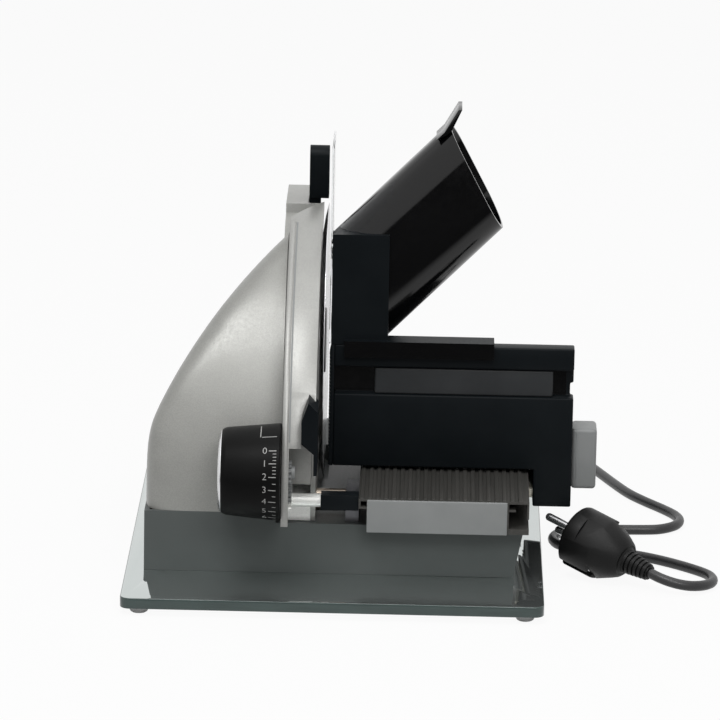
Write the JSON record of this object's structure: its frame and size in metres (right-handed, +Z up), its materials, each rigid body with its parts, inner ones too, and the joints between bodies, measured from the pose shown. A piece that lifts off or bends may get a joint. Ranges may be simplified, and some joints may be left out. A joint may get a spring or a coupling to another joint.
{
  "type": "electric food slicer",
  "caption": "Electric food slicer on a glass plate, with a round blade, a thickness knob that moves a stop plate, a sliding carriage, a slanted chute, a switch lever, a cord and a plug.",
  "frame": {"origin": "on the table, under the middle of the machine without its cord", "axes": "+Z up, +Y along the carriage's travel away from the operator, +X square to the blade towards the carriage"},
  "size_m": [0.3563, 0.3991, 0.2833],
  "materials": {
    "glass": "clear",
    "clear_plastic": "clear",
    "foot_rubber": "matte",
    "dark_paint": "satin",
    "silver_paint": "satin",
    "aluminium": "satin",
    "grey_plastic": "satin",
    "black_plastic": "satin",
    "gloss_black": "gloss",
    "pale_plastic": "satin",
    "bright_steel": "brushed",
    "blade_cover": "satin",
    "motor_steel": "satin",
    "rotor_iron": "satin",
    "cord_rubber": "satin"
  },
  "bodies": {
    "machine": {"glass_plate": "glass", "rubber_feet": "foot_rubber", "glass_screws": "bright_steel", "base_body": "dark_paint", "motor_housing": "silver_paint", "housing_side_plate": "silver_paint", "blade_carrier": "silver_paint", "carrier_screws": "bright_steel", "blade_bearings": "bright_steel", "motor_can": "motor_steel", "motor_bearings": "bright_steel", "motor_bracket": "black_plastic", "micro_switch": "black_plastic", "lever_pin": "bright_steel", "terminal_block": "pale_plastic", "guide_rods": "bright_steel", "rod_supports": "aluminium", "spindle_nut": "black_plastic", "bed_profile": "aluminium", "bed_end_cap": "grey_plastic", "cord_gland": "cord_rubber", "cord": "cord_rubber", "plug_body": "cord_rubber", "plug_pins": "bright_steel"},
    "plate": {"stop_plate": "silver_paint", "foot_rail": "silver_paint", "plate_trim": "black_plastic"},
    "knob": {"thickness_knob": "black_plastic", "knob_shaft": "bright_steel"},
    "idler": {"adjuster_idler": "pale_plastic"},
    "spindle": {"adjuster_spindle": "bright_steel"},
    "cutter": {"blade": "bright_steel", "blade_shaft": "bright_steel", "blade_gear": "pale_plastic", "blade_cap": "blade_cover"},
    "rotor": {"motor_rotor": "rotor_iron", "motor_pinion": "bright_steel", "motor_fan": "pale_plastic"},
    "sled": {"carriage": "black_plastic", "finger_rail": "grey_plastic", "food_strip": "black_plastic", "side_grip": "grey_plastic", "glide_shoes": "pale_plastic"},
    "attachment": {"chute_box": "black_plastic", "chute_tube": "gloss_black", "chute_shield": "clear_plastic"},
    "lever": {"switch_lever": "black_plastic"}
  },
  "joints": [
    {"name": "stop_plate_slide", "type": "slide", "parent": "machine", "child": "plate", "axis": [1, 0, 0], "range_m": [-0.0175, 0.0025]},
    {"name": "knob_turn", "type": "hinge", "parent": "plate", "child": "knob", "pos_m": [-0.06625, -0.13712, 0.081], "axis": [1, 0, 0], "range_deg": [-281, 41]},
    {"name": "idler_turn", "type": "hinge", "parent": "plate", "child": "idler", "pos_m": [-0.03775, -0.12712, 0.06982], "axis": [1, 0, 0], "range_deg": [-28, 188]},
    {"name": "spindle_turn", "type": "hinge", "parent": "plate", "child": "spindle", "pos_m": [-0.03775, -0.11712, 0.05864], "axis": [1, 0, 0], "range_deg": [-281, 41]},
    {"name": "blade_spin", "type": "hinge", "parent": "machine", "child": "cutter", "pos_m": [-0.02525, 0.03, 0.12], "axis": [1, 0, 0], "continuous": true},
    {"name": "motor_spin", "type": "hinge", "parent": "machine", "child": "rotor", "pos_m": [-0.08425, 0.0174, 0.0768], "axis": [1, 0, 0], "continuous": true},
    {"name": "carriage_slide", "type": "slide", "parent": "machine", "child": "sled", "axis": [0, 1, 0], "range_m": [-0.055, 0.12]},
    {"name": "attachment_lift", "type": "slide", "parent": "sled", "child": "attachment", "axis": [0, 0, 1], "range_m": [0, 0.04]},
    {"name": "switch_tilt", "type": "hinge", "parent": "machine", "child": "lever", "pos_m": [-0.03125, 0.03, 0.205], "axis": [1, 0, 0], "range_deg": [-12, 12], "stiffness_Nm_per_rad": 0.05}
  ],
  "couplings": [
    {"joint": "knob_turn", "follows": "stop_plate_slide", "rad_per_m": 279.25},
    {"joint": "idler_turn", "follows": "stop_plate_slide", "rad_per_m": -186.17},
    {"joint": "spindle_turn", "follows": "stop_plate_slide", "rad_per_m": 279.25},
    {"joint": "motor_spin", "follows": "blade_spin", "ratio": -5.4286}
  ]
}
